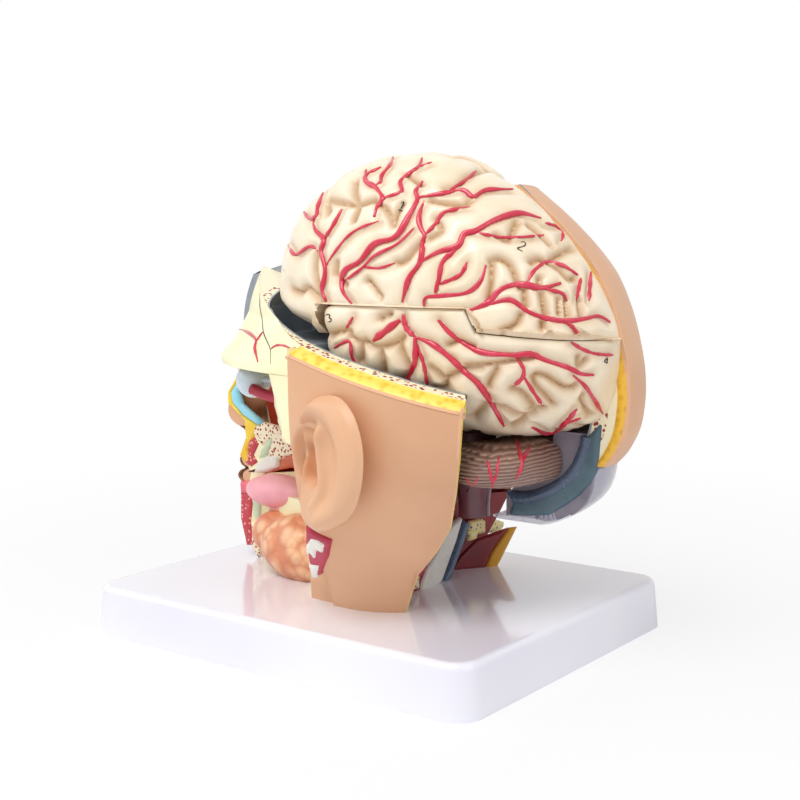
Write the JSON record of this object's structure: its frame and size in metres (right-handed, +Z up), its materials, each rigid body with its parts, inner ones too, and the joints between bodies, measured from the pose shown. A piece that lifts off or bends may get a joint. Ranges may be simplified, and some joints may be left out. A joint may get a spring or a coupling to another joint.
{
  "type": "head anatomy model",
  "caption": "Life-size dissected head on a white slab: opened skull, ear flap, mid-line face section and a brain in lift-out lobes with arteries",
  "frame": {"origin": "centre of the slab's underside, on the plane it stands on", "axes": "+Z up, the face looks along -Y, the head's own left is +X, the slab's long side lies along Y"},
  "size_m": [0.162, 0.2279, 0.2113],
  "materials": {
    "slab": "glossy moulded plastic",
    "screw_steel": "plain steel",
    "skin": "painted soft plastic",
    "eye": "painted, glossy",
    "dura": "clear tinted plastic",
    "brain": "painted, satin",
    "cerebellum": "painted, satin",
    "stem": "painted, satin",
    "artery": "painted, glossy",
    "pin_steel": "plain steel"
  },
  "bodies": {
    "head": {"base_plate": "slab", "base_screws": "screw_steel", "head_casting": "skin", "left_eyeball": "eye", "rear_dura": "dura", "left_lower_cerebrum": "brain", "right_upper_cerebrum": "brain", "right_lower_cerebrum": "brain", "left_cerebellum": "cerebellum", "right_cerebellum": "cerebellum", "left_brainstem": "stem", "right_brainstem": "stem", "basilar_artery": "artery", "locating_pins": "pin_steel"},
    "left_upper_lobe": {"left_upper_cerebrum": "brain"}
  },
  "joints": [
    {"name": "left_upper_lobe_lift", "type": "slide", "parent": "head", "child": "left_upper_lobe", "axis": [0, 0, 1], "range_m": [0, 0.09]}
  ]
}
